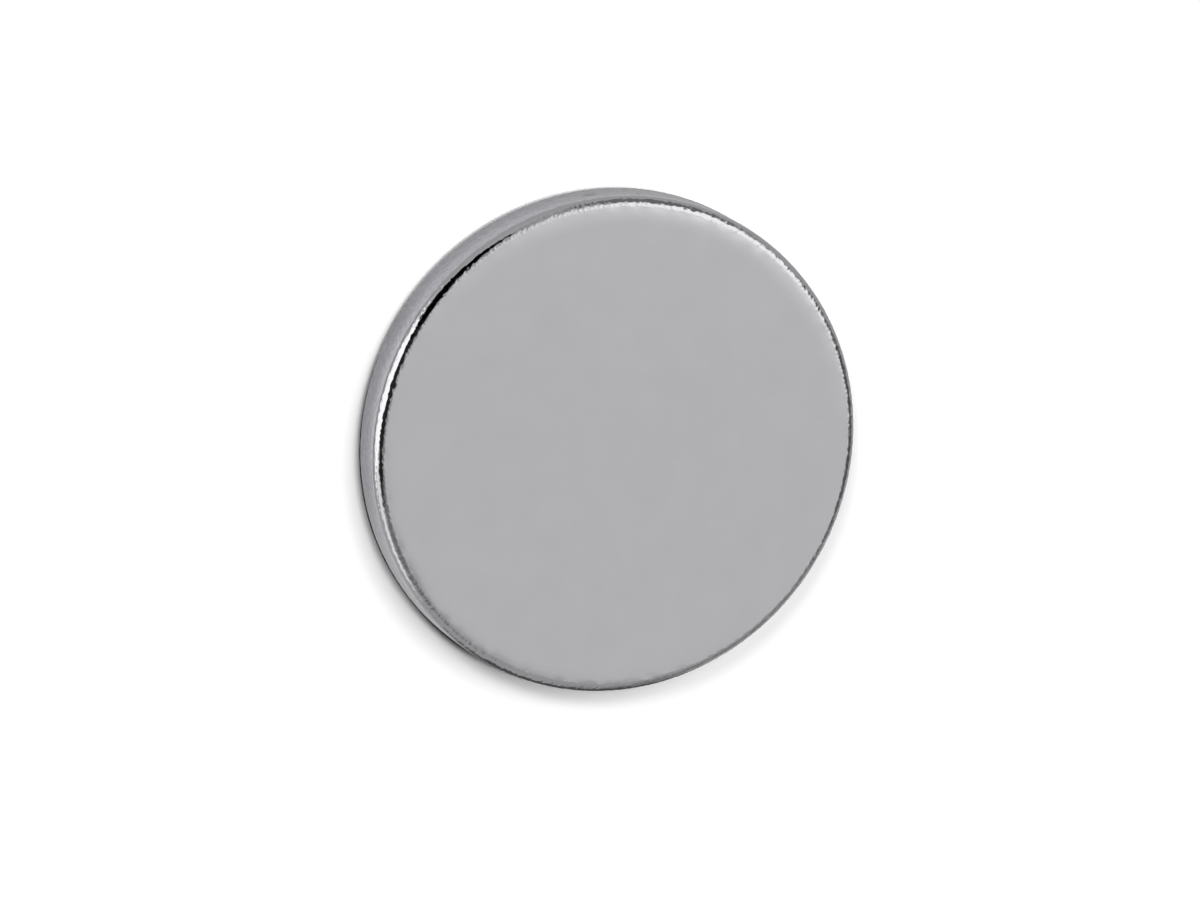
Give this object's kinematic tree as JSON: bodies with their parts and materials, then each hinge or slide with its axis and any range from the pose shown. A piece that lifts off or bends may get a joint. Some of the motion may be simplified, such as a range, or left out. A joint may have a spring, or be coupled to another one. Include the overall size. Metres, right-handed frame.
{
  "type": "disc magnet",
  "caption": "Thin round disc magnet with two plain flat faces and softly rounded edges, bright nickel plated all over.",
  "frame": {"origin": "centre of the back face, on which the disc lies", "axes": "+Z along the disc's axis, out of the front face; X and Y lie in the back face and are alike"},
  "size_m": [0.025, 0.025, 0.003],
  "materials": {
    "nickel_plate": "bright nickel plate, slightly softened, over a tumbled surface"
  },
  "bodies": {
    "root": {"magnet_disc": "nickel_plate"}
  },
  "joints": []
}
